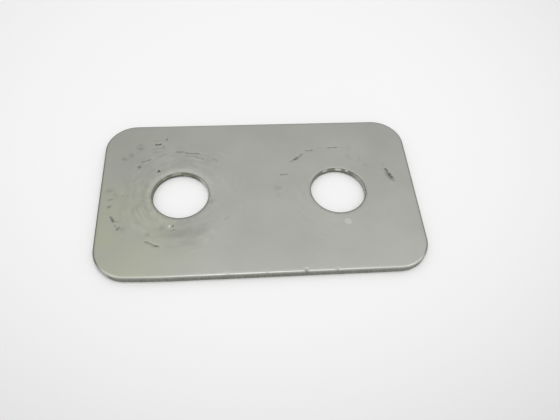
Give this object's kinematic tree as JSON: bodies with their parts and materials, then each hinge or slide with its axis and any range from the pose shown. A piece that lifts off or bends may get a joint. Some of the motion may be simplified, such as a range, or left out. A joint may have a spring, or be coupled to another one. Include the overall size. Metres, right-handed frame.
{
  "type": "exhaust mounting plate",
  "caption": "Flat sheet steel plate with rounded corners and round bolt holes on its centre line, which clamps an exhaust hanger to a frame.",
  "frame": {"origin": "middle of the underside, which is the face that the plate lies on", "axes": "+X along the length and through both holes, +Y across the width, +Z out of the upper face"},
  "size_m": [0.06, 0.035, 0.0014],
  "materials": {
    "plate_steel": "satin"
  },
  "bodies": {
    "root": {"mounting_plate": "plate_steel"}
  },
  "joints": []
}
